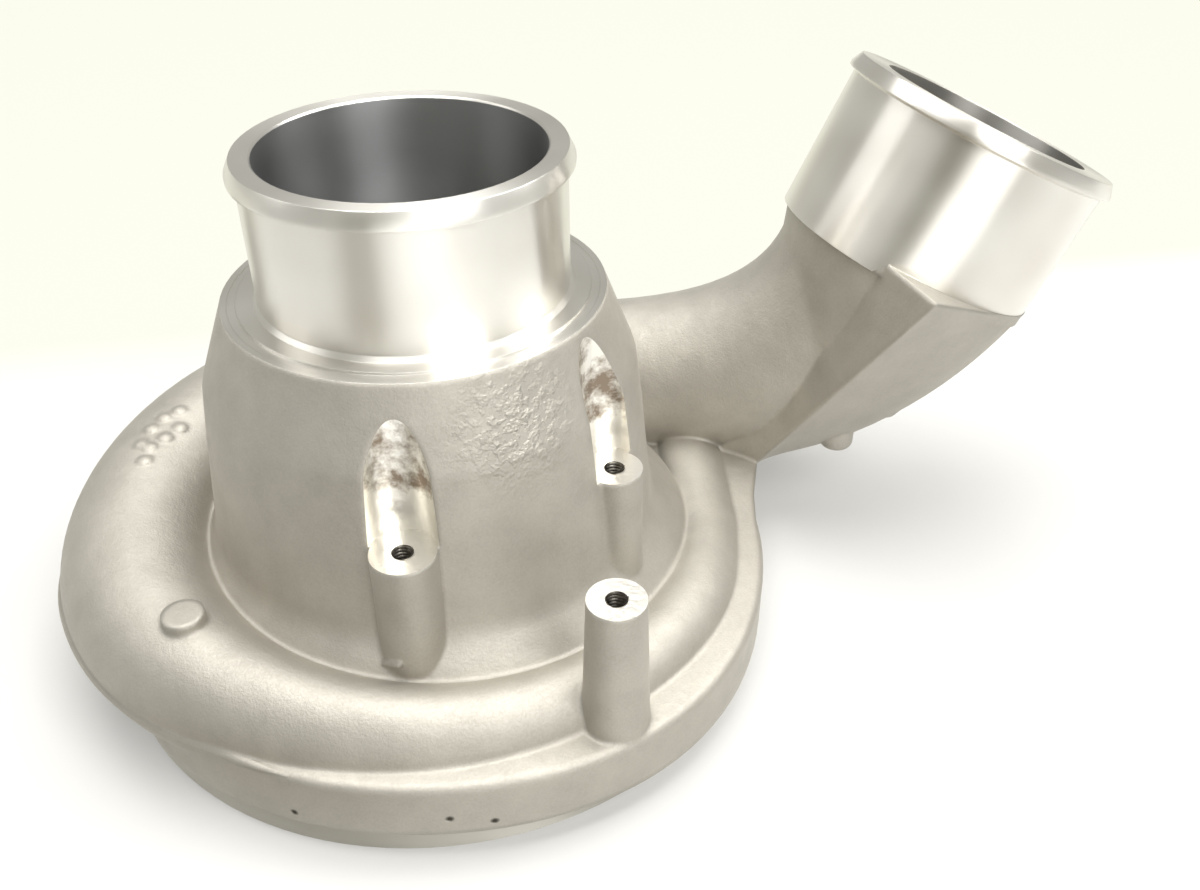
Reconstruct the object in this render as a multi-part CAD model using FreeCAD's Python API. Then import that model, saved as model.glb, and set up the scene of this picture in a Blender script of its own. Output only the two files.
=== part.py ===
import FreeCAD, Part
import math
import os
from FreeCAD import Matrix, Vector

os.makedirs("parts", exist_ok=True)

# Compressor housing of a large turbocharger, one aluminium casting.
# Millimetres. The z axis is the wheel's axis, z = 0 is the joint face that meets the backplate.
# Azimuths are in degrees, counter-clockwise from +x seen from above. The volute winds clockwise.

# Hose ends: both spigots take the same hose
hoseRadius = 50.8
beadRise = 2.5
beadLand = 1.4
beadBack = 0.9
beadBevelWidth = 2.0
beadBevelHeight = 4.0
mouthChamfer = 0.6
spigotFoot = 1.5

# Inlet: the spigot stands on the shoulder at the top of the barrel
inletSpigotLength = 46.6
inletBoreRadius = 45.0
inletBoreDepth = 44.0
boreLipRadius = 4.0

# Shoulder under the inlet spigot: a turned land, a groove and the edge of the cast cone
shoulderLandRadius = 57.6
shoulderGrooveRadius = 60.4
shoulderGrooveDepth = 0.8
shoulderEdgeRadius = 62.6
shoulderEdgeDrop = 0.6

# Cast barrel: radii and heights up its side, then the length of the cone up to the shoulder
barrelConeRadius = 72.8
barrelConeHeight = 109.1
barrelConeLength = 26.9
barrelWaistRadius = 75.0
barrelWaistHeight = 91.0
barrelFootRadius = 79.0
barrelFootHeight = 52.0
barrelFootFillet = 12.0
skirtRadius = 93.0
skirtHeight = 37.0
barrelCornerRadius = 14.0

# Joint flange: turned band below, cast band above it
bandRadius = 118.7
bandHeight = 12.0
bandEdge = 0.8
overlap = 1.0
rimRadius = 120.6
rimHeight = 31.5
rimEdge = 2.6
rimLobe = 5.3
rimLobeAzimuth = 303.0
rimLobeSpread = 30.0

# Web that carries the rim over to the duct
webCornerX = 130.4
webCornerY = 19.7
webInnerX = 80.0
webFrontY = -20.0
webBackY = 60.0
webSideY = 36.0
webOverhang = 2.5
webStartAzimuth = -12.0

# Volute stations: angle past the tongue, centre radius, half width, centre height, half height
tongueAzimuth = 0.0
tongueReach = 60.0
stations = [
    (8, 99.4, 14.2, 27.4, 11.0),
    (30, 99.4, 14.7, 27.4, 13.5),
    (60, 99.1, 14.7, 27.4, 15.5),
    (90, 98.8, 15.3, 27.4, 18.1),
    (120, 99.9, 17.6, 30.5, 20.2),
    (150, 105.0, 24.4, 34.6, 23.3),
    (180, 107.0, 27.5, 37.7, 25.9),
    (210, 106.0, 29.2, 39.8, 29.0),
    (240, 103.0, 30.8, 40.8, 31.0),
    (270, 99.9, 31.6, 40.8, 32.1),
    (285, 98.8, 32.1, 41.3, 32.4),
]
castWall = 5.0

# Outlet spigot: centre of its face and the way its axis points
outletX = 212.7
outletY = 38.3
outletZ = 164.8
outletAzimuth = 3.5
outletElevation = 64.4
outletSpigotLength = 54.3
outletBoreRadius = 40.2

# Duct between the volute's end and the outlet spigot
ductStartPull = 84.0
ductEndPull = 64.0
ductEndWidth = 38.0
ductEndHeight = 50.4
ductEndSwell = 2.5
ductStations = (0.15, 0.35, 0.55, 0.75, 0.9, 1.0)
flareLength = 60.0
flareRadius = 31.5

# Parting edge of the duct: where it leaves the rim and where it meets the outlet spigot
partingHeadU = 67.0
partingHeadV = 27.0
earInset = 0.72
earSpread = 17.0
lowerStartRadius = 41.5
lowerEndRadius = 51.2
lowerSwell = 5
lowerShare = 0.97
lowerStations = (0.45, 0.55, 0.65, 0.78, 0.9, 1.0)

# Tapped bosses: radius and azimuth of the axis, top height, boss radius, foot radius
tapRadius = 3.4
tapDepth = 22.0
drillPoint = 118.0
scallopRadius = 11.0
bosses = [
    (77.3, 260.8, 85.8, 10.3, 10.8, True),
    (74.7, 320.0, 87.4, 9.35, 10.0, True),
    (113.4, 294.7, 81.2, 9.1, 11.0, False),
]

# Locating pad on the volute
padRadius = 6.75
padPitchRadius = 103.0
padAzimuth = 216.5
padHeight = 59.0

# Round boss under the duct
underBossX = 162.5
underBossY = 18.0
underBossRadius = 6.8
underBossBottom = 38.0
underBossTop = 60.0
underBossEdge = 3.0

# Inside, wheel side
registerRadius = 104.0
registerDepth = 8.0
throatInner = 80.0
throatOuter = 98.0
throatDepth = 17.5
diffuserHeight = 14.5
inducerRadius = 36.5
shroudArc = 21.5

# Tapped holes in the joint face, for the backplate's clamp bolts
boltCount = 8
boltPitchRadius = 111.4
boltDepth = 11.0
boltAzimuth = 22.5

# Inside, recirculation ring round the inducer, its top below the end of the inlet bore
ringOuterRadius = 42.5
ringDrop = 12.6
ringChamfer = 2.0
cavityRadius = 59.0
cavityFloor = 54.0
slotFloor = 56.0
slotWidth = 5.0
ribWidth = 6.0
ribLift = 6.0
ribCount = 3
ribAzimuth = 30.0

ovalPoles = 12
origin = Vector(0, 0, 0)
up = Vector(0, 0, 1)

# Heights that follow from the sizes above
shoulderHeight = barrelConeHeight + barrelConeLength
inletHeight = shoulderHeight + inletSpigotLength
boreEnd = inletHeight - inletBoreDepth
ringTop = boreEnd - ringDrop


def polar(radius, azimuth, height):
    """Point at a radius and azimuth about the z axis."""
    turn = math.radians(azimuth)
    return Vector(radius * math.cos(turn), radius * math.sin(turn), height)


def roundedFace(points):
    """Face of a closed (radius, height, corner radius) outline; a point without a radius is sharp."""
    arcs = {}
    ends = []
    count = len(points)
    for i in range(count):
        here = Vector(points[i][0], 0, points[i][1])
        before = Vector(points[i - 1][0], 0, points[i - 1][1]) - here
        after = Vector(points[(i + 1) % count][0], 0, points[(i + 1) % count][1]) - here
        radius = points[i][2] if len(points[i]) > 2 else 0
        if radius <= 0:
            ends.append((here, here))
            continue
        half = before.getAngle(after) / 2
        reach = min(radius / math.tan(half), min(before.Length, after.Length) / 2.1)
        radius = reach * math.tan(half)
        before.normalize()
        after.normalize()
        start = here + before * reach
        end = here + after * reach
        middle = before + after
        middle.normalize()
        centre = here + middle * (radius / math.sin(half))
        arcs[i] = Part.Arc(start, centre - middle * radius, end).toShape()
        ends.append((start, end))
    wire = []
    for i in range(count):
        if i in arcs:
            wire.append(arcs[i])
        start = ends[i][1]
        end = ends[(i + 1) % count][0]
        if start.distanceToPoint(end) > 1e-6:
            wire.append(Part.makeLine(start, end))
    return Part.Face(Part.Wire(wire))


def turned(points):
    """Solid turned about the z axis from a closed (radius, height, corner radius) outline."""
    return roundedFace(points).revolve(origin, up, 360)


def ring(inner, outer, low, high):
    """Plain ring about the z axis."""
    return turned([(inner, low), (outer, low), (outer, high), (inner, high)])


def oval(centre, across, upward, halfWidth, halfHeight):
    """Closed oval wire in the plane of across and upward: a smooth periodic cubic curve."""
    swell = 3 / (2 + math.cos(2 * math.pi / ovalPoles))
    poles = []
    for i in range(ovalPoles):
        turn = 2 * math.pi * i / ovalPoles
        poles.append(centre + across * (swell * halfWidth * math.cos(turn))
                     + upward * (swell * halfHeight * math.sin(turn)))
    curve = Part.BSplineCurve()
    curve.buildFromPoles(poles, True, 3)
    return Part.Wire([curve.toShape()])


def spigot(length):
    """Hose end that stands on z = 0: spigot, bead and flat rim. Its bore is cut later."""
    bead = hoseRadius + beadRise
    landTop = length - beadBevelHeight
    landBottom = landTop - beadLand
    return turned([
        (0, -castWall), (hoseRadius, -castWall), (hoseRadius, landBottom - beadBack),
        (bead, landBottom), (bead, landTop), (bead - beadBevelWidth, length), (0, length)])


# Outlet frame: axis, the direction up and inward of the bend, and the direction to the back
outletTilt = math.radians(outletElevation)
outletAxis = polar(math.cos(outletTilt), outletAzimuth, math.sin(outletTilt))
outletBack = polar(1, outletAzimuth + 90, 0)
outletUp = outletAxis.cross(outletBack)
outletFace = Vector(outletX, outletY, outletZ)
ductEnd = outletFace - outletAxis * outletSpigotLength

# Duct path: a Bezier curve that leaves the volute's last station along its tangent
lastAngle, lastRadius, lastWidth, lastHeight, lastHalf = stations[-1]
lastAzimuth = tongueAzimuth - lastAngle
ductStart = polar(lastRadius, lastAzimuth, lastHeight)
startAxis = polar(1, lastAzimuth - 90, 0)
ductPath = Part.BezierCurve()
ductPath.setPoles([ductStart, ductStart + startAxis * ductStartPull,
                   ductEnd - outletAxis * ductEndPull, ductEnd])


def ductFrame(t):
    """Centre, direction to the back and upward direction of the duct's section at t."""
    centre = ductPath.value(t)
    along = ductPath.tangent(t)[0]
    back = up.cross(along)
    back.normalize()
    return centre, back, along.cross(back)


def grown(t, start, end, power):
    """A size that grows along the duct from start to end, late if power is large."""
    return start + (end - start) * t ** power


def winding(wall):
    """Volute and duct in one sweep through their sections, inside the outer surface by wall."""
    wires = []
    for angle, radius, halfWidth, height, halfHeight in stations:
        azimuth = tongueAzimuth - angle
        wires.append(oval(polar(radius, azimuth, height), polar(1, azimuth, 0), up,
                          halfWidth - wall, halfHeight - wall))
    for t in ductStations:
        centre, back, upward = ductFrame(t)
        halfWidth = grown(t, lastWidth, ductEndWidth, 1) - wall
        halfHeight = grown(t, lastHalf, ductEndHeight, ductEndSwell) - wall
        wires.append(oval(centre, back, upward, halfWidth, halfHeight))
    start = Part.Face(wires[0]).extrude(polar(tongueReach, tongueAzimuth - stations[0][0] + 90, 0))
    return [Part.makeLoft(wires, True, False), start]


# Barrel with the shoulder ring, its shoulder turned with the spigot
barrel = turned([
    (0, bandHeight), (throatInner, bandHeight), (skirtRadius, skirtHeight),
    (barrelFootRadius, barrelFootHeight, barrelFootFillet),
    (barrelWaistRadius, barrelWaistHeight, barrelCornerRadius),
    (barrelConeRadius, barrelConeHeight, barrelCornerRadius),
    (shoulderEdgeRadius, shoulderHeight - shoulderEdgeDrop),
    (shoulderGrooveRadius, shoulderHeight - shoulderEdgeDrop),
    (shoulderGrooveRadius, shoulderHeight - shoulderGrooveDepth),
    (shoulderLandRadius, shoulderHeight - shoulderGrooveDepth),
    (shoulderLandRadius, shoulderHeight),
    (hoseRadius + spigotFoot, shoulderHeight), (hoseRadius, shoulderHeight + spigotFoot),
    (0, shoulderHeight + spigotFoot)])
inletSpigot = spigot(inletSpigotLength)
inletSpigot.translate(Vector(0, 0, shoulderHeight))


# Flange: turned band, and the cast rim with its one broad lobe
def rimPoint(azimuth):
    away = (azimuth - rimLobeAzimuth + 180) % 360 - 180
    return polar(rimRadius + rimLobe * math.exp(-(away / rimLobeSpread) ** 2), azimuth, bandHeight - overlap)


band = turned([(0, 0), (bandRadius - bandEdge, 0), (bandRadius, bandEdge), (bandRadius, bandHeight), (0, bandHeight)])
rimCurve = Part.BSplineCurve()
rimCurve.interpolate([rimPoint(15 * i) for i in range(24)], PeriodicFlag=True)
rim = Part.Face(Part.Wire([rimCurve.toShape()])).extrude(up * (rimHeight - bandHeight + overlap))
rimTop = [edge for edge in rim.Edges if edge.BoundBox.ZMin > bandHeight]
rim = rim.makeFillet(rimEdge, rimTop)

# Web from the rim to the duct
webPoints = [Vector(webInnerX, webFrontY, bandHeight), polar(rimRadius - overlap, webStartAzimuth, bandHeight),
             Vector(rimRadius + webOverhang, 0, bandHeight), Vector(webCornerX, webCornerY, bandHeight),
             Vector(webCornerX, webSideY, bandHeight), Vector(webInnerX, webBackY, bandHeight)]
web = Part.Face(Part.makePolygon(webPoints + webPoints[:1])).extrude(up * (rimHeight - bandHeight))

# Flare: the cone that brings the narrower duct out to the outlet spigot
flareEnd = ductEnd - outletAxis * flareLength
flare = Part.makeLoft([oval(flareEnd, outletBack, outletUp, flareRadius, flareRadius),
                       oval(ductEnd, outletBack, outletUp, hoseRadius, hoseRadius)], True, True)

# Lower half of the duct: drawn out to the parting edge in front, round below
partingFoot = Vector(webCornerX, webCornerY, rimHeight)
partingHead = ductEnd - outletBack * partingHeadU + outletUp * partingHeadV
partingLine = partingHead - partingFoot


def lowerSection(t):
    """Lower half's outline at t: front ear, flank, arc below, back flank and the parting face."""
    centre, back, upward = ductFrame(t)
    along = ductPath.tangent(t)[0]
    share = (centre - partingFoot).dot(along) / partingLine.dot(along)
    ear = partingFoot + partingLine * share - centre
    earU = -ear.dot(back)
    earV = ear.dot(upward)
    reach = math.hypot(earU, earV)
    size = min(grown(t, lowerStartRadius, lowerEndRadius, lowerSwell), reach * lowerShare)
    edge = math.atan2(earV, earU)
    tangent = edge - math.acos(size / reach)

    def at(radius, angle):
        return centre - back * (radius * math.cos(angle)) + upward * (radius * math.sin(angle))

    tip = at(reach, edge)
    front = at(size, tangent)
    rear = at(size, -math.pi)
    arc = Part.Arc(front, at(size, (tangent - math.pi) / 2), rear).toShape()
    inner = at(reach * earInset, edge + math.radians(earSpread))
    return Part.Wire([Part.makeLine(tip, front), arc, Part.makeLine(rear, centre),
                      Part.makeLine(centre, inner), Part.makeLine(inner, tip)])


lower = Part.makeLoft([lowerSection(t) for t in lowerStations], True, False)
outletSpigot = spigot(outletSpigotLength)
outletPlace = FreeCAD.Placement(Matrix(
    outletBack.x, outletUp.x, outletAxis.x, ductEnd.x,
    outletBack.y, outletUp.y, outletAxis.y, ductEnd.y,
    outletBack.z, outletUp.z, outletAxis.z, ductEnd.z,
    0, 0, 0, 1))
outletSpigot.Placement = outletPlace

body = band.multiFuse([rim, web, barrel, inletSpigot, flare, lower, outletSpigot] + winding(0))


def drilled(depth, mouth, way):
    """Tapping hole with its drill tip, its mouth at a point and open along way."""
    tip = tapRadius / math.tan(math.radians(drillPoint / 2))
    hole = Part.makeCylinder(tapRadius, depth + overlap, mouth - way * depth, way)
    return hole.fuse(Part.makeCone(0, tapRadius, tip, mouth - way * (depth + tip), way))


# Bosses, each with the scallop that its spotface cutter leaves in the barrel
additions = []
cuts = []
for radius, azimuth, height, bossRadius, footRadius, scalloped in bosses:
    foot = polar(radius, azimuth, rimHeight - castWall)
    additions.append(Part.makeCone(footRadius, bossRadius, height - foot.z, foot))
    top = polar(radius, azimuth, height)
    if scalloped:
        cuts.append(Part.makeCylinder(scallopRadius, inletHeight - height, top))
    cuts.append(drilled(tapDepth, top, up))
additions.append(Part.makeCylinder(padRadius, padHeight - rimHeight, polar(padPitchRadius, padAzimuth, rimHeight)))
underBoss = turned([(0, underBossBottom), (underBossRadius, underBossBottom, underBossEdge),
                    (underBossRadius, underBossTop), (0, underBossTop)])
underBoss.translate(Vector(underBossX, underBossY, 0))
additions.append(underBoss)
body = body.multiFuse(additions)

for i in range(boltCount):
    mouth = polar(boltPitchRadius, boltAzimuth + 360 * i / boltCount, 0)
    cuts.append(drilled(boltDepth, mouth, up * -1))

# Inside: the wheel side
wheelSide = turned([
    (0, -overlap), (registerRadius, -overlap), (registerRadius, registerDepth), (throatInner, registerDepth),
    (throatInner, diffuserHeight), (inducerRadius, diffuserHeight, shroudArc),
    (inducerRadius, ringTop + overlap), (0, ringTop + overlap)])
throat = ring(throatInner, throatOuter, registerDepth - overlap, registerDepth + throatDepth)
channelTop = Part.makeCylinder(outletBoreRadius, outletSpigotLength + overlap)
channelTop.Placement = outletPlace

# Inside: the inlet bore opens below into the cavity round the recirculation ring
inletBore = turned([
    (0, ringTop - ringChamfer), (ringOuterRadius, ringTop - ringChamfer), (cavityRadius, ringTop),
    (inletBoreRadius, boreEnd, boreLipRadius), (inletBoreRadius, inletHeight - mouthChamfer),
    (inletBoreRadius + mouthChamfer, inletHeight), (inletBoreRadius + mouthChamfer, inletHeight + overlap),
    (0, inletHeight + overlap)])
cavity = ring(ringOuterRadius, cavityRadius, cavityFloor, ringTop)
ribs = []
for i in range(ribCount):
    rib = Part.makeBox(cavityRadius + overlap, ribWidth, ringTop)
    rib.translate(Vector(0, -ribWidth / 2, slotFloor + slotWidth + ribLift))
    rib.rotate(origin, up, ribAzimuth + 360 * i / ribCount)
    ribs.append(rib)
cavity = cavity.cut(ribs)
slot = ring(inducerRadius - overlap, ringOuterRadius + overlap, slotFloor, slotFloor + slotWidth)

housing = body.cut(cuts + winding(castWall) + [wheelSide, throat, channelTop, inletBore, cavity, slot])
housing.exportStep("parts/compressor_housing.step")
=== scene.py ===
import math
import bpy
from mathutils import Euler, Matrix, Vector


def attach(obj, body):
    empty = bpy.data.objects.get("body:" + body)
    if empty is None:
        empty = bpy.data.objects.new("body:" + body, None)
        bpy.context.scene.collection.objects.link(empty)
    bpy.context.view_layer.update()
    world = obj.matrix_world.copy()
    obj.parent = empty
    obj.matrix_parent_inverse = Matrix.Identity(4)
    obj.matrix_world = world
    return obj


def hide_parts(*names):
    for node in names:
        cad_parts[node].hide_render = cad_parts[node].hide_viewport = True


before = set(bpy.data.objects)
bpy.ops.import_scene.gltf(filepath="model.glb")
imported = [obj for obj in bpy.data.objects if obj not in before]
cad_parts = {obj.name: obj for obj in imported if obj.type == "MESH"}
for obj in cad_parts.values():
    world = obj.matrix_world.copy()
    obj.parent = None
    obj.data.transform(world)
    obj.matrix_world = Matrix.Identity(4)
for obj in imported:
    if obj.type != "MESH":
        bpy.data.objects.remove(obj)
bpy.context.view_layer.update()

# Lengths are in metres, angles in degrees where nothing else is said
mm = 0.001

# Inlet spigot, upright on its shoulder at the top of the barrel
inlet = {
    "centre": Vector((0, 0, 0)),
    "axis": Vector((0, 0, 1)),
    "top": 182.6 * mm,
    "shoulder": 136.0 * mm,
    "shoulderEdge": 62.4 * mm,
    "bore": 45.0 * mm,
    "boreFoot": 20 * mm,
}

# Outlet spigot: centre of its face, the way it points, its length and radii
outlet = {
    "centre": Vector((212.7, 38.3, 164.8)) * mm,
    "azimuth": 3.5,
    "elevation": 64.4,
    "length": 54.3 * mm,
    "bead": 53.6 * mm,
    "bore": 40.2 * mm,
}
outlet["axis"] = Vector((
    math.cos(math.radians(outlet["elevation"])) * math.cos(math.radians(outlet["azimuth"])),
    math.cos(math.radians(outlet["elevation"])) * math.sin(math.radians(outlet["azimuth"])),
    math.sin(math.radians(outlet["elevation"]))))

# Joint flange: its turned band, and the machined space for the wheel inside it
flange = {
    "bandHeight": 12.0 * mm,
    "bandRadius": 118.7 * mm,
    "insideHeight": 36.0 * mm,
    "insideRadius": 80 * mm,
}

# Bosses: radius and azimuth of the axis, top height, boss radius, scallop cut in the barrel behind it
bosses = [
    {"pitch": 77.3 * mm, "azimuth": 260.8, "top": 85.8 * mm, "radius": 10.3 * mm, "scallop": 11.0 * mm},
    {"pitch": 74.7 * mm, "azimuth": 320.0, "top": 87.4 * mm, "radius": 9.35 * mm, "scallop": 11.0 * mm},
    {"pitch": 113.4 * mm, "azimuth": 294.7, "top": 81.2 * mm, "radius": 9.1 * mm, "scallop": 0.0},
]

# Thread in the bosses: radius of the hole, radius at the crests, height of one turn
tapping = {
    "radius": 3.4 * mm,
    "crest": 2.95 * mm,
    "pitch": 1.25 * mm,
    "turns": 15,
    "steps": 28,
    "seat": 0.05 * mm,
    "crestFrom": 0.45,
    "crestTo": 0.55,
    "topTurn": 0.4,
}

# Crumbly patch on the barrel and pin holes in the rim, as places on the casting
roughPatch = {"centre": (0.026, -0.065, 0.118), "radius": 18 * mm}
pinHoles = [(-0.0534, -0.1081, 0.0152), (-0.0069, -0.1214, 0.0182), (0.0064, -0.1223, 0.0151)]
pinHoleRadius = 1.5 * mm


def linear(hexColor):
    # sRGB hex to the linear values that a socket wants
    channels = [int(hexColor[i:i + 2], 16) / 255 for i in (1, 3, 5)]
    return [c / 12.92 if c <= 0.04045 else ((c + 0.055) / 1.055) ** 2.4 for c in channels] + [1]


def outwardAt(azimuth):
    turn = math.radians(azimuth)
    return Vector((math.cos(turn), math.sin(turn), 0))


def topOf(boss):
    # centre of the boss's top, where its hole starts
    turn = math.radians(boss["azimuth"])
    return Vector((boss["pitch"] * math.cos(turn), boss["pitch"] * math.sin(turn), boss["top"]))


def addNode(tree, kind, settings=None, links=None):
    # one node with its settings, and links from other nodes' sockets
    node = tree.nodes.new(kind)
    for name, value in (settings or {}).items():
        if isinstance(name, int) or name in node.inputs:
            node.inputs[name].default_value = value
        else:
            setattr(node, name, value)
    for name, socket in (links or {}).items():
        tree.links.new(socket, node.inputs[name])
    return node


def newMaterial(name):
    material = bpy.data.materials.new(name)
    material.use_nodes = True
    tree = material.node_tree
    tree.nodes.clear()
    return material, tree


def fillRamp(ramp, stops):
    # stops of (position, hex colour); the ramp starts with two
    elements = ramp.color_ramp.elements
    while len(elements) < len(stops):
        elements.new(1)
    for element, (position, color) in zip(elements, stops):
        element.position = position
        element.color = linear(color)


def seenDirectly(tree):
    # 1 for what the camera sees, or sees mirrored or through glass, and 0 for light that only falls on things
    path = addNode(tree, "ShaderNodeLightPath")
    direct = addNode(tree, "ShaderNodeMath", {"operation": "MAXIMUM"},
                     {0: path.outputs["Is Camera Ray"], 1: path.outputs["Is Glossy Ray"]})
    seen = addNode(tree, "ShaderNodeMath", {"operation": "MAXIMUM"},
                   {0: direct.outputs["Value"], 1: path.outputs["Is Transmission Ray"]})
    return seen.outputs["Value"]


def deselectAll():
    if bpy.context.mode != "OBJECT":
        bpy.ops.object.mode_set(mode="OBJECT")
    bpy.ops.object.select_all(action="DESELECT")


def makeActive(obj):
    deselectAll()
    obj.select_set(True)
    bpy.context.view_layer.objects.active = obj


# Sand-cast aluminium, shot-blasted: dull warm grey, a fine even grain and a slow mottle
def castAluminium():
    look = {
        "pale": "#BCB8AF",
        "dark": "#B1ADA4",
        "grainSize": 0.8 * mm,
        "grainHeight": 0.11 * mm,
        "mottleSize": 16 * mm,
        "mottleHeight": 0.9 * mm,
        "crumbSize": 3.2 * mm,
        "crumbHeight": 1.1 * mm,
        "patchFray": 14 * mm,
        "crumbsElsewhere": 0.03,
        # colour of the shade painted into the pin holes
        "pinHole": "#4B4740",
        "pinHoleDepth": 0.8 * mm,
        "filletRadius": 3.0 * mm,
    }
    material, tree = newMaterial("sandCastAluminium")
    place = addNode(tree, "ShaderNodeTexCoord")
    grain = addNode(tree, "ShaderNodeTexNoise", {"Scale": 1 / look["grainSize"], "Detail": 3, "Roughness": 0.6},
                    {"Vector": place.outputs["Object"]})
    mottle = addNode(tree, "ShaderNodeTexNoise", {"Scale": 1 / look["mottleSize"], "Detail": 6, "Roughness": 0.6},
                     {"Vector": place.outputs["Object"]})
    tone = addNode(tree, "ShaderNodeValToRGB", links={"Fac": mottle.outputs["Fac"]})
    fillRamp(tone, [(0.3, look["dark"]), (0.7, look["pale"])])

    # pin holes: painted dark as the shade inside them, and sunk within a small distance of each place
    nearest = None
    for pinHole in pinHoles:
        away = addNode(tree, "ShaderNodeVectorMath", {"operation": "DISTANCE", 1: pinHole},
                       {0: place.outputs["Object"]}).outputs["Value"]
        if nearest is None:
            nearest = away
        else:
            nearest = addNode(tree, "ShaderNodeMath", {"operation": "MINIMUM"},
                              {0: nearest, 1: away}).outputs["Value"]
    holeMask = addNode(tree, "ShaderNodeMapRange",
                       {"From Min": pinHoleRadius * 0.4, "From Max": pinHoleRadius, "To Min": 1, "To Max": 0},
                       {"Value": nearest})
    holeDepth = addNode(tree, "ShaderNodeMath", {"operation": "MULTIPLY", 1: -1}, {0: holeMask.outputs["Result"]})
    color = addNode(tree, "ShaderNodeMixRGB", {"Color2": linear(look["pinHole"])},
                    {"Fac": holeMask.outputs["Result"], "Color1": tone.outputs["Color"]})

    # rough patch: crumbs of metal where the mould's sand had washed out, with a frayed edge
    patchAway = addNode(tree, "ShaderNodeVectorMath", {"operation": "DISTANCE", 1: roughPatch["centre"]},
                        {0: place.outputs["Object"]})
    patchEdge = addNode(tree, "ShaderNodeMath", {"operation": "MULTIPLY_ADD", 1: look["patchFray"]},
                        {0: mottle.outputs["Fac"], 2: patchAway.outputs["Value"]})
    patchMask = addNode(tree, "ShaderNodeMapRange",
                        {"From Min": roughPatch["radius"] * 0.5, "From Max": roughPatch["radius"] * 1.8,
                         "To Min": 1, "To Max": look["crumbsElsewhere"]},
                        {"Value": patchEdge.outputs["Value"]})
    crumbs = addNode(tree, "ShaderNodeTexNoise", {"Scale": 1 / look["crumbSize"], "Detail": 3},
                     {"Vector": place.outputs["Object"]})
    crumbRise = addNode(tree, "ShaderNodeMapRange", {"From Min": 0.44, "From Max": 0.85},
                        {"Value": crumbs.outputs["Fac"]})
    crumbHeight = addNode(tree, "ShaderNodeMath", {"operation": "MULTIPLY"},
                          {0: crumbRise.outputs["Result"], 1: patchMask.outputs["Result"]})

    # relief from coarse to fine, over edges that the mould left round
    fillet = addNode(tree, "ShaderNodeBevel", {"samples": 8, "Radius": look["filletRadius"]})
    normal = fillet.outputs["Normal"]
    reliefs = [
        (mottle.outputs["Fac"], 0.5, look["mottleHeight"]),
        (holeDepth.outputs["Value"], 1.0, look["pinHoleDepth"]),
        (crumbHeight.outputs["Value"], 0.9, look["crumbHeight"]),
        (grain.outputs["Fac"], 0.8, look["grainHeight"]),
    ]
    for height, strength, distance in reliefs:
        relief = addNode(tree, "ShaderNodeBump", {"Strength": strength, "Distance": distance},
                         {"Height": height, "Normal": normal})
        normal = relief.outputs["Normal"]
    dullness = addNode(tree, "ShaderNodeMapRange",
                       {"From Min": 0.3, "From Max": 0.7, "To Min": 0.58, "To Max": 0.7},
                       {"Value": grain.outputs["Fac"]})
    shader = addNode(tree, "ShaderNodeBsdfPrincipled", {"Metallic": 1.0},
                     {"Base Color": color.outputs["Color"], "Roughness": dullness.outputs["Result"],
                      "Normal": normal})
    addNode(tree, "ShaderNodeOutputMaterial", links={"Surface": shader.outputs["BSDF"]})
    return material


# Lathe-turned aluminium: bright, with feed lines round its axis that draw the reflections out along it
def turnedAluminium(surface):
    spigot = surface["spigot"]
    look = {
        "feed": 0.6 * mm,      # the real feed is about 0.15 mm, too fine to show
        "lineDepth": 0.006 * mm,
        "smearSize": 28 * mm,
        "edgeRadius": 0.5 * mm,
        "anisotropy": 0.85,
    }
    material, tree = newMaterial(surface["name"])
    place = addNode(tree, "ShaderNodeTexCoord")
    edge = addNode(tree, "ShaderNodeBevel", {"samples": 4, "Radius": look["edgeRadius"]})
    offset = addNode(tree, "ShaderNodeVectorMath", {"operation": "SUBTRACT", 1: spigot["centre"]},
                     {0: place.outputs["Object"]})
    along = addNode(tree, "ShaderNodeVectorMath", {"operation": "DOT_PRODUCT", 1: spigot["axis"]},
                    {0: offset.outputs["Vector"]})
    around = addNode(tree, "ShaderNodeVectorMath", {"operation": "CROSS_PRODUCT", 1: spigot["axis"]},
                     {0: offset.outputs["Vector"]})
    spread = addNode(tree, "ShaderNodeVectorMath", {"operation": "CROSS_PRODUCT"},
                     {0: around.outputs["Vector"], 1: edge.outputs["Normal"]})
    feedPlace = addNode(tree, "ShaderNodeMath", {"operation": "MULTIPLY", 1: 1 / look["feed"]},
                        {0: along.outputs["Value"]})
    feedLines = addNode(tree, "ShaderNodeTexNoise", {"noise_dimensions": "1D", "Scale": 1, "Detail": 2},
                        {"W": feedPlace.outputs["Value"]})

    # hands and cutting fluid have dulled it in slow smears
    smear = addNode(tree, "ShaderNodeTexNoise", {"Scale": 1 / look["smearSize"], "Detail": 1},
                    {"Vector": place.outputs["Object"]})
    # for the bores the tones given are darker: painted shade inside them
    tone = addNode(tree, "ShaderNodeValToRGB", links={"Fac": smear.outputs["Fac"]})
    fillRamp(tone, [(0.2, surface["dark"]), (0.8, surface["pale"])])
    gloss = addNode(tree, "ShaderNodeMapRange",
                    {"From Min": 0.3, "From Max": 0.7, "To Min": surface["smooth"], "To Max": surface["rough"]},
                    {"Value": smear.outputs["Fac"]})
    lines = addNode(tree, "ShaderNodeBump", {"Strength": 0.5, "Distance": look["lineDepth"]},
                    {"Height": feedLines.outputs["Fac"], "Normal": edge.outputs["Normal"]})
    shader = addNode(tree, "ShaderNodeBsdfPrincipled", {"Metallic": 1.0, "Anisotropic": look["anisotropy"]},
                     {"Base Color": tone.outputs["Color"], "Roughness": gloss.outputs["Result"],
                      "Normal": lines.outputs["Normal"], "Tangent": spread.outputs["Vector"]})
    addNode(tree, "ShaderNodeOutputMaterial", links={"Surface": shader.outputs["BSDF"]})
    return material


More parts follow.
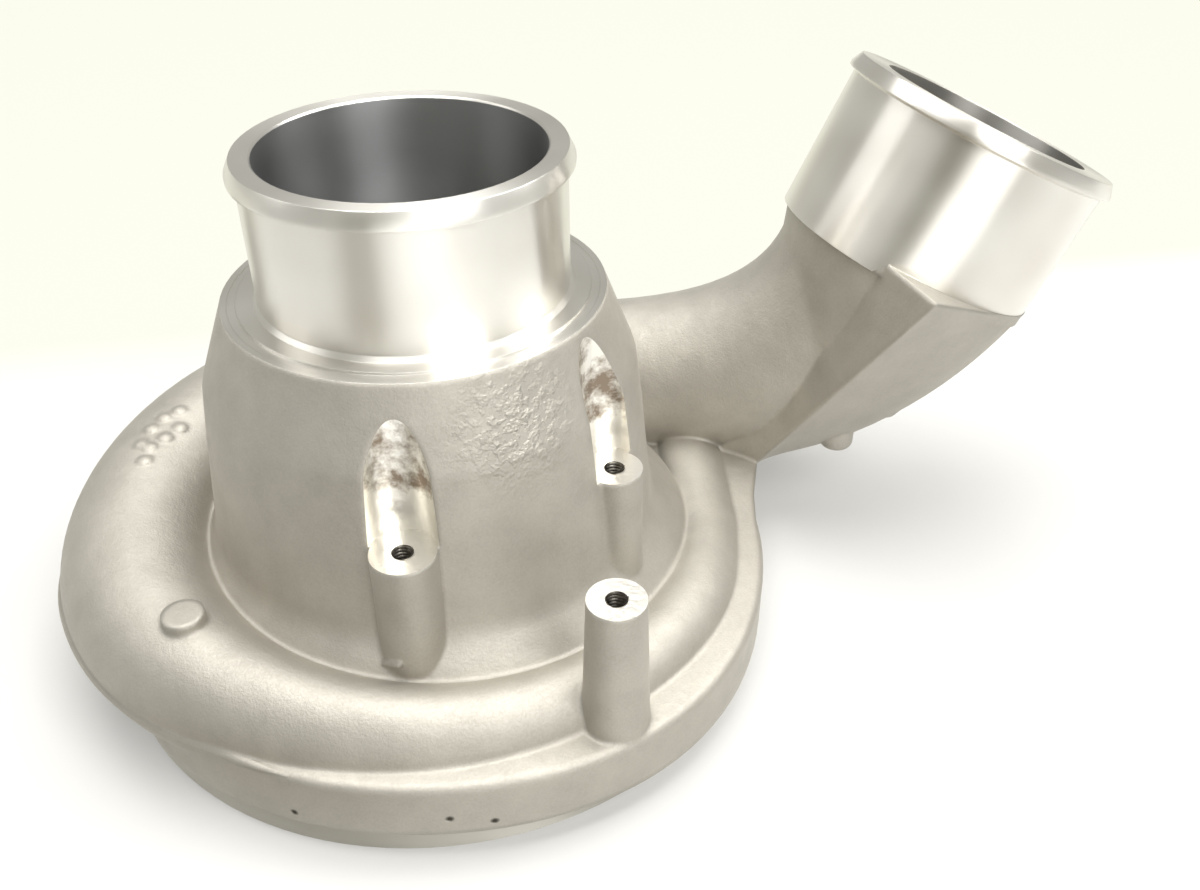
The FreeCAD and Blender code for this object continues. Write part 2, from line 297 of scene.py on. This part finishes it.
# Aluminium cut by a spotface cutter: bright, torn in places, with brown cutting-fluid stains
def spotfacedAluminium():
    look = {
        "bright": "#EFECE4",
        "stain": "#8E8071",
        "stainSize": 11 * mm,
        "tearSize": 2.2 * mm,
        "tearDepth": 0.25 * mm,
        "cleanBelow": 88 * mm,
        "stainedFrom": 104 * mm,
    }
    material, tree = newMaterial("spotfacedAluminium")
    place = addNode(tree, "ShaderNodeTexCoord")
    stains = addNode(tree, "ShaderNodeTexNoise", {"Scale": 1 / look["stainSize"], "Detail": 4, "Roughness": 0.7},
                     {"Vector": place.outputs["Object"]})
    tears = addNode(tree, "ShaderNodeTexNoise", {"Scale": 1 / look["tearSize"], "Detail": 3},
                    {"Vector": place.outputs["Object"]})
    # the lower part is kept clean and bright, and the stains grow above it
    height = addNode(tree, "ShaderNodeSeparateXYZ", links={"Vector": place.outputs["Object"]})
    heightShift = addNode(tree, "ShaderNodeMapRange", {"From Min": look["cleanBelow"], "From Max": look["stainedFrom"],
                                                 "To Min": -0.2, "To Max": 0.05}, {"Value": height.outputs["Z"]})
    stained = addNode(tree, "ShaderNodeMath", {"operation": "ADD"},
                      {0: stains.outputs["Fac"], 1: heightShift.outputs["Result"]})
    tone = addNode(tree, "ShaderNodeValToRGB", links={"Fac": stained.outputs["Value"]})
    fillRamp(tone, [(0.5, look["bright"]), (0.68, look["stain"])])
    torn = addNode(tree, "ShaderNodeBump", {"Strength": 0.6, "Distance": look["tearDepth"]},
                   {"Height": tears.outputs["Fac"]})
    shader = addNode(tree, "ShaderNodeBsdfPrincipled", {"Metallic": 1.0, "Roughness": 0.32},
                     {"Base Color": tone.outputs["Color"], "Normal": torn.outputs["Normal"]})
    addNode(tree, "ShaderNodeOutputMaterial", links={"Surface": shader.outputs["BSDF"]})
    return material


# Tapped aluminium: darker than the rest, in darker blotches at random
def tappedAluminium():
    look = {
        "metal": "#8E8A82",
        "blotch": "#5A554D",
        "blotchSize": 2 * mm,
    }
    material, tree = newMaterial("tappedAluminium")
    place = addNode(tree, "ShaderNodeTexCoord")
    blotches = addNode(tree, "ShaderNodeTexNoise", {"Scale": 1 / look["blotchSize"], "Detail": 3},
                    {"Vector": place.outputs["Object"]})
    tone = addNode(tree, "ShaderNodeValToRGB", links={"Fac": blotches.outputs["Fac"]})
    fillRamp(tone, [(0.4, look["metal"]), (0.65, look["blotch"])])
    shader = addNode(tree, "ShaderNodeBsdfPrincipled", {"Metallic": 1.0, "Roughness": 0.38},
                     {"Base Color": tone.outputs["Color"]})
    addNode(tree, "ShaderNodeOutputMaterial", links={"Surface": shader.outputs["BSDF"]})
    return material


# How near a face's centre has to lie to a machined surface to take its finish,
# and how far its normal may lean
match = {
    "level": 0.1 * mm,
    "bore": 0.2 * mm,
    "wall": 0.3 * mm,
    "shoulderDrop": 0.9 * mm,
    "holeShare": 1.03,
    "bossShare": 1.2,
    "upright": 0.05,
    "steep": 0.5,
}


def finishOf(centre, normal):
    # which finish a face of the casting has, by its place and the way it faces
    radius = math.hypot(centre.x, centre.y)
    for boss in bosses:
        top = topOf(boss)
        away = math.hypot(centre.x - top.x, centre.y - top.y)
        if away < tapping["radius"] * match["holeShare"] and centre.z < top.z - match["level"]:
            return "tapped"
        if away < boss["radius"] * match["bossShare"] and abs(centre.z - top.z) < match["level"]:
            return "spotfaced"
        onScallop = abs(away - boss["scallop"]) < match["wall"] and abs(normal.z) < match["upright"]
        if boss["scallop"] and centre.z > top.z and onScallop:
            return "spotfaced"
    # faces inside the bores take darker tones, which are painted shade
    if radius < inlet["bore"] + match["bore"] and centre.z > inlet["boreFoot"] and abs(normal.z) < match["steep"]:
        return "boredInletInShade"
    if centre.z > inlet["shoulder"] - match["shoulderDrop"] and radius < inlet["shoulderEdge"]:
        return "turnedInlet"
    back = (centre - outlet["centre"]).dot(outlet["axis"])
    off = (centre - outlet["centre"] - outlet["axis"] * back).length
    if back > match["bore"] - outlet["length"] and off < outlet["bead"]:
        inside = off < outlet["bore"] + match["wall"] and abs(normal.dot(outlet["axis"])) < match["steep"]
        return "boredOutletInShade" if inside else "turnedOutlet"
    if centre.z < flange["insideHeight"] and radius < flange["insideRadius"]:
        return "turnedInlet"
    if centre.z < flange["bandHeight"] and radius < flange["bandRadius"] + match["wall"]:
        return "turnedBand"
    return "cast"


def makeHousing(finishes):
    # the casting itself: a merged copy of the solid, with a finish on each face
    look = {"mergeWithin": 0.005 * mm, "sharpFrom": 28}
    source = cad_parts["compressor_housing"]
    housing = bpy.data.objects.new("housing", source.data.copy())
    bpy.context.collection.objects.link(housing)
    makeActive(housing)
    bpy.ops.object.mode_set(mode="EDIT")
    bpy.ops.mesh.select_all(action="SELECT")
    bpy.ops.mesh.remove_doubles(threshold=look["mergeWithin"])
    bpy.ops.mesh.customdata_custom_splitnormals_clear()
    bpy.ops.object.mode_set(mode="OBJECT")
    mesh = housing.data
    mesh.materials.clear()
    slots = {}
    for name, material in finishes.items():
        slots[name] = len(slots)
        mesh.materials.append(material)
    for face in mesh.polygons:
        face.material_index = slots[finishOf(face.center, face.normal)]
    bpy.ops.object.shade_smooth_by_angle(angle=math.radians(look["sharpFrom"]))
    print("housing", len(mesh.polygons), "faces")
    return housing


def surfaceAt(housing, start, way):
    # where a straight line from a point meets the casting
    found, point, normal, face = housing.ray_cast(start, way)
    return point


# Small raised marks that the mould left on the volute, as azimuths and distances in mm from the axis
castMarks = {
    "radius": 2.7 * mm,
    "rise": 1.7 * mm,
    "sunk": 0.75 * mm,
    "places": [(161, 109.4), (157.4, 107.6), (154.6, 104.3), (166.7, 105.6), (163.2, 102.2), (159.4, 99.7),
               (170.6, 105.1), (165.8, 109.2)],
}


def makeCastMarks(housing, finish):
    # flattened balls, sunk until only a low cap shows
    marks = []
    for azimuth, distance in castMarks["places"]:
        turn = math.radians(azimuth)
        above = Vector((distance * mm * math.cos(turn), distance * mm * math.sin(turn), inlet["top"]))
        foot = surfaceAt(housing, above, Vector((0, 0, -1))) - Vector((0, 0, castMarks["sunk"]))
        deselectAll()
        bpy.ops.mesh.primitive_uv_sphere_add(segments=24, ring_count=12, radius=castMarks["radius"],
                                             location=foot)
        mark = bpy.context.active_object
        mark.scale.z = castMarks["rise"] / castMarks["radius"]
        bpy.ops.object.transform_apply(location=True, rotation=True, scale=True)
        bpy.ops.object.shade_smooth()
        mark.data.materials.append(finish)
        marks.append(mark)
    print("cast marks", len(marks))
    return marks


# Fin of metal where two parts of the mould met, at the foot of the first boss, turned in radians
flash = {
    "middle": Vector((-19.7, -84.2, 48.4)) * mm,
    "size": (7.5 * mm, 2.2 * mm, 1.6 * mm),
    "turn": (0.62, -0.35, -0.64),
    "edge": 0.5 * mm,
}


def makeFlash(finish):
    deselectAll()
    bpy.ops.mesh.primitive_cube_add(size=1, location=flash["middle"])
    fin = bpy.context.active_object
    fin.scale = flash["size"]
    fin.rotation_euler = flash["turn"]
    bpy.ops.object.transform_apply(location=True, rotation=True, scale=True)
    bpy.ops.object.mode_set(mode="EDIT")
    bpy.ops.mesh.select_all(action="SELECT")
    bpy.ops.mesh.bevel(offset=flash["edge"], segments=3, affect="EDGES")
    bpy.ops.object.mode_set(mode="OBJECT")
    bpy.ops.object.shade_smooth()
    fin.data.materials.append(finish)
    print("flash")
    return fin


# Lip that the mould's parting left round the outside of the volute, as azimuths and heights in mm.
# Its ends thin out, and no part of it stands further to the left than the volute does.
partingLip = {
    "radius": 1.4 * mm,
    "endShare": 0.2,
    "course": [(160, 39.0), (168, 39.5), (176, 39.5), (184, 39.5), (190, 39.2), (196, 38.8), (202, 37.4),
               (208, 35.4), (214, 33.4), (220, 32.2), (226, 31.5), (232, 31.2), (238, 31.0), (244, 30.8)],
    "reach": 134.3 * mm,
    "outside": 0.3,
}


def makePartingLip(housing, finish):
    points = []
    for azimuth, height in partingLip["course"]:
        outward = outwardAt(azimuth)
        level = Vector((0, 0, height * mm))
        foot = surfaceAt(housing, outward * partingLip["outside"] + level, -outward)
        widest = partingLip["reach"] / abs(outward.x) - partingLip["radius"]
        distance = min(math.hypot(foot.x, foot.y), widest)
        points.append(outward * distance + level)
    curve = bpy.data.curves.new("partingLip", "CURVE")
    curve.dimensions = "3D"
    curve.bevel_depth = partingLip["radius"]
    curve.bevel_resolution = 4
    curve.use_fill_caps = True
    spline = curve.splines.new("NURBS")
    spline.points.add(len(points) - 1)
    for place, point in zip(spline.points, points):
        place.co = (*point, 1)
    spline.points[0].radius = spline.points[-1].radius = partingLip["endShare"]
    spline.order_u = 3
    spline.use_endpoint_u = True
    spline.resolution_u = 12
    lip = bpy.data.objects.new("partingLip", curve)
    bpy.context.collection.objects.link(lip)
    makeActive(lip)
    bpy.ops.object.convert(target="MESH")
    lip = bpy.context.active_object
    bpy.ops.object.shade_smooth()
    lip.data.materials.clear()
    lip.data.materials.append(finish)
    print("parting lip")
    return lip


def makeThread(boss, finish):
    # one ridge of the thread, wound down the hole by a screw modifier
    pitch = tapping["pitch"]
    root = tapping["radius"] + tapping["seat"]
    ridge = [(root, 0, 0), (tapping["crest"], 0, pitch * tapping["crestFrom"]),
             (tapping["crest"], 0, pitch * tapping["crestTo"]), (root, 0, pitch)]
    mesh = bpy.data.meshes.new("thread")
    mesh.from_pydata(ridge, [(0, 1), (1, 2), (2, 3)], [])
    thread = bpy.data.objects.new("thread", mesh)
    bpy.context.collection.objects.link(thread)
    makeActive(thread)
    screw = thread.modifiers.new("turns", "SCREW")
    screw.angle = math.tau
    screw.screw_offset = pitch
    screw.iterations = tapping["turns"]
    screw.steps = screw.render_steps = tapping["steps"]
    screw.use_merge_vertices = True
    screw.merge_threshold = 0.001 * mm
    bpy.ops.object.modifier_apply(modifier="turns")
    thread.location = topOf(boss) - Vector((0, 0, pitch * (tapping["turns"] + tapping["topTurn"])))
    bpy.ops.object.transform_apply(location=True, rotation=True, scale=True)
    bpy.ops.object.mode_set(mode="EDIT")
    bpy.ops.mesh.select_all(action="SELECT")
    bpy.ops.mesh.normals_make_consistent(inside=True)
    bpy.ops.object.mode_set(mode="OBJECT")
    thread.data.materials.append(finish)
    print("thread")
    return thread


def joinInto(housing, additions):
    makeActive(housing)
    for addition in additions:
        addition.select_set(True)
    bpy.ops.object.join()
    print("joined", len(additions), "details,", len(housing.data.polygons), "faces")


# Studio: a sheet of pale paper whose part behind the object takes a pale wall's tint, and an even sky
room = {
    "floorSize": 6,
    "wallFrom": 0.19,
    "wallTo": 0.235,
    "paperTint": "#FBFBF9",
    "wallTint": "#FEFEF0",
    "paperColor": "#DAD9D5",
    "paperLift": 0.27,
    "wallLift": 0.97,
    "sky": "#F6F4EE",
    "skyOnThings": 0.15,
    "skySeen": 0.56,
}


def makeRoom():
    bpy.ops.mesh.primitive_plane_add(size=room["floorSize"], location=(0, 0, 0))
    floor = bpy.context.active_object
    floor.name = "floor"
    material, tree = newMaterial("palePaper")
    place = addNode(tree, "ShaderNodeTexCoord")
    depth = addNode(tree, "ShaderNodeSeparateXYZ", links={"Vector": place.outputs["Object"]})
    wall = addNode(tree, "ShaderNodeMapRange", {"From Min": room["wallFrom"], "From Max": room["wallTo"]},
                   {"Value": depth.outputs["Y"]})
    tint = addNode(tree, "ShaderNodeMixRGB",
                   {"Color1": linear(room["paperTint"]), "Color2": linear(room["wallTint"])},
                   {"Fac": wall.outputs["Result"]})
    paper = addNode(tree, "ShaderNodeBsdfDiffuse", {"Color": linear(room["paperColor"])})
    # lifted towards white only where it is looked at, so that it still takes the object's shadow
    lift = addNode(tree, "ShaderNodeEmission",
                   links={"Color": tint.outputs["Color"], "Strength": seenDirectly(tree)})
    share = addNode(tree, "ShaderNodeMapRange", {"To Min": room["paperLift"], "To Max": room["wallLift"]},
                    {"Value": wall.outputs["Result"]})
    lifted = addNode(tree, "ShaderNodeMixShader", links={
        "Fac": share.outputs["Result"], 1: paper.outputs["BSDF"], 2: lift.outputs["Emission"]})
    addNode(tree, "ShaderNodeOutputMaterial", links={"Surface": lifted.outputs["Shader"]})
    floor.data.materials.append(material)

    world = bpy.data.worlds.new("studio")
    bpy.context.scene.world = world
    world.use_nodes = True
    tree = world.node_tree
    tree.nodes.clear()
    strength = addNode(tree, "ShaderNodeMapRange", {"To Min": room["skyOnThings"], "To Max": room["skySeen"]},
                       {"Value": seenDirectly(tree)})
    sky = addNode(tree, "ShaderNodeBackground", {"Color": linear(room["sky"])},
                  {"Strength": strength.outputs["Result"]})
    addNode(tree, "ShaderNodeOutputWorld", links={"Surface": sky.outputs["Background"]})


softboxes = [
    {"name": "overheadSoftbox", "place": (0.05, 0.12, 1.3), "target": (0.05, 0, 0.05), "size": (1.05, 1.05),
     "power": 21},
    {"name": "frontSoftbox", "place": (0.4, -0.76, 0.9), "target": (0.05, 0, 0.05), "size": (0.6, 0.5),
     "power": 7.5},
    {"name": "rightSoftbox", "place": (0.75, 0.15, 0.9), "target": (0.05, 0, 0.05), "size": (0.5, 0.5),
     "power": 4.5},
    {"name": "leftSoftbox", "place": (-0.9, 0.2, 0.8), "target": (0.05, 0, 0.05), "size": (0.6, 0.6),
     "power": 1.5},
    {"name": "lowFill", "place": (0.0, -1.1, 0.16), "target": (0.0, 0, 0.02), "size": (0.9, 0.25),
     "power": 2.0},
]

# Cards that only the metal sees, glowing in their grey to paint grey and dark streaks of shade
# into its reflections: two on the floor, one upright in front
cards = [
    {"name": "greyCard", "place": (-0.2, -0.3, 0.5 * mm), "turn": (0, 0, -124), "size": (0.45, 0.3),
     "shade": "#C4C0B5"},
    {"name": "darkCard", "place": (-0.28, 0.23, 0.5 * mm), "turn": (0, 0, 140), "size": (0.4, 0.2),
     "shade": "#A5A198"},
    {"name": "standingCard", "place": (-0.4, -0.85, 0.42), "turn": (90, 90, -25), "size": (0.5, 0.9),
     "shade": "#6E6B58"},
]
cardFade = {"edge": 0.5, "full": 0.1}


def addLamp(softbox):
    bpy.ops.object.light_add(type="AREA", location=softbox["place"])
    lamp = bpy.context.active_object
    lamp.name = softbox["name"]
    lamp.data.shape = "RECTANGLE"
    lamp.data.size, lamp.data.size_y = softbox["size"]
    lamp.data.energy = softbox["power"]
    aim = Vector(softbox["target"]) - Vector(softbox["place"])
    lamp.rotation_euler = aim.to_track_quat("-Z", "Y").to_euler()


def addCard(look):
    bpy.ops.mesh.primitive_plane_add(size=1, location=look["place"])
    card = bpy.context.active_object
    card.name = look["name"]
    card.rotation_euler = [math.radians(angle) for angle in look["turn"]]
    card.scale = (*look["size"], 1)
    material, tree = newMaterial(look["name"])
    # the shade fades out towards the card's long sides
    place = addNode(tree, "ShaderNodeTexCoord")
    across = addNode(tree, "ShaderNodeSeparateXYZ", links={"Vector": place.outputs["Object"]})
    off = addNode(tree, "ShaderNodeMath", {"operation": "ABSOLUTE"}, {0: across.outputs["Y"]})
    fade = addNode(tree, "ShaderNodeMapRange",
                   {"interpolation_type": "SMOOTHSTEP",
                    "From Min": cardFade["edge"], "From Max": cardFade["full"]},
                   {"Value": off.outputs["Value"]})
    # the card glows in its shade colour, which the metal shows as a painted darker reflection
    paper = addNode(tree, "ShaderNodeEmission", {"Color": linear(look["shade"]), "Strength": 1.0})
    clear = addNode(tree, "ShaderNodeBsdfTransparent")
    faded = addNode(tree, "ShaderNodeMixShader", links={
        "Fac": fade.outputs["Result"], 1: clear.outputs["BSDF"], 2: paper.outputs["Emission"]})
    addNode(tree, "ShaderNodeOutputMaterial", links={"Surface": faded.outputs["Shader"]})
    card.data.materials.append(material)
    card.visible_camera = False
    card.visible_diffuse = False
    card.visible_shadow = False


# Photographer's eye, angles in radians
camera = {
    "location": (0.0, -0.3398, 0.3046),
    "lens": 33.904,
    "sensor": 36,
    "clip": 0.01,
    "pitch": 0.611,
    "yaw": -0.178,
    "roll": -0.003,
}


def makeCamera():
    data = bpy.data.cameras.new("camera")
    data.sensor_width = camera["sensor"]
    data.lens = camera["lens"]
    data.clip_start = camera["clip"]
    eye = bpy.data.objects.new("camera", data)
    bpy.context.collection.objects.link(eye)
    turn = Euler((math.pi / 2 - camera["pitch"], 0, camera["yaw"])).to_matrix()
    turn = turn @ Matrix.Rotation(camera["roll"], 3, "Z")
    eye.rotation_euler = turn.to_euler()
    eye.location = camera["location"]
    bpy.context.scene.camera = eye


# Turned and bored surfaces, each about its spigot's axis, with the range of its tone and roughness; the bored
# ones are also rougher, and their darker tones are painted shade inside the bores
turnedSurfaces = {
    "turnedInlet": {"name": "turnedAluminiumInlet", "spigot": inlet, "pale": "#F0EEE8", "dark": "#DDDAD2",
                    "smooth": 0.285, "rough": 0.33},
    "turnedOutlet": {"name": "turnedAluminiumOutlet", "spigot": outlet, "pale": "#F0EEE8", "dark": "#DBD7CE",
                     "smooth": 0.285, "rough": 0.33},
    "turnedBand": {"name": "turnedAluminiumBand", "spigot": inlet, "pale": "#C6C3BA", "dark": "#BAB7AE",
                   "smooth": 0.5, "rough": 0.6},
    # the inlet bore's darker tone is painted shade inside it
    "boredInletInShade": {"name": "boredAluminiumInletShaded", "spigot": inlet, "pale": "#B2B3B3", "dark": "#A8A9A9",
                   "smooth": 0.38, "rough": 0.42},
    # the outlet bore's darker tone is painted shade inside it
    "boredOutletInShade": {"name": "boredAluminiumOutletShaded", "spigot": outlet, "pale": "#A9A7A2", "dark": "#9C9A94",
                    "smooth": 0.4, "rough": 0.46},
}

makeRoom()
for softbox in softboxes:
    addLamp(softbox)
for card in cards:
    addCard(card)
makeCamera()
print("room, lights and camera")

finishes = {"cast": castAluminium()}
for part, surface in turnedSurfaces.items():
    finishes[part] = turnedAluminium(surface)
finishes["spotfaced"] = spotfacedAluminium()
finishes["tapped"] = tappedAluminium()
print("finishes", len(finishes))

housing = makeHousing(finishes)
details = makeCastMarks(housing, finishes["cast"])
details.append(makePartingLip(housing, finishes["cast"]))
details.append(makeFlash(finishes["cast"]))
details += [makeThread(boss, finishes["tapped"]) for boss in bosses]
joinInto(housing, details)
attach(housing, "root")
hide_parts("compressor_housing")

bpy.context.scene.view_settings.view_transform = "Standard"
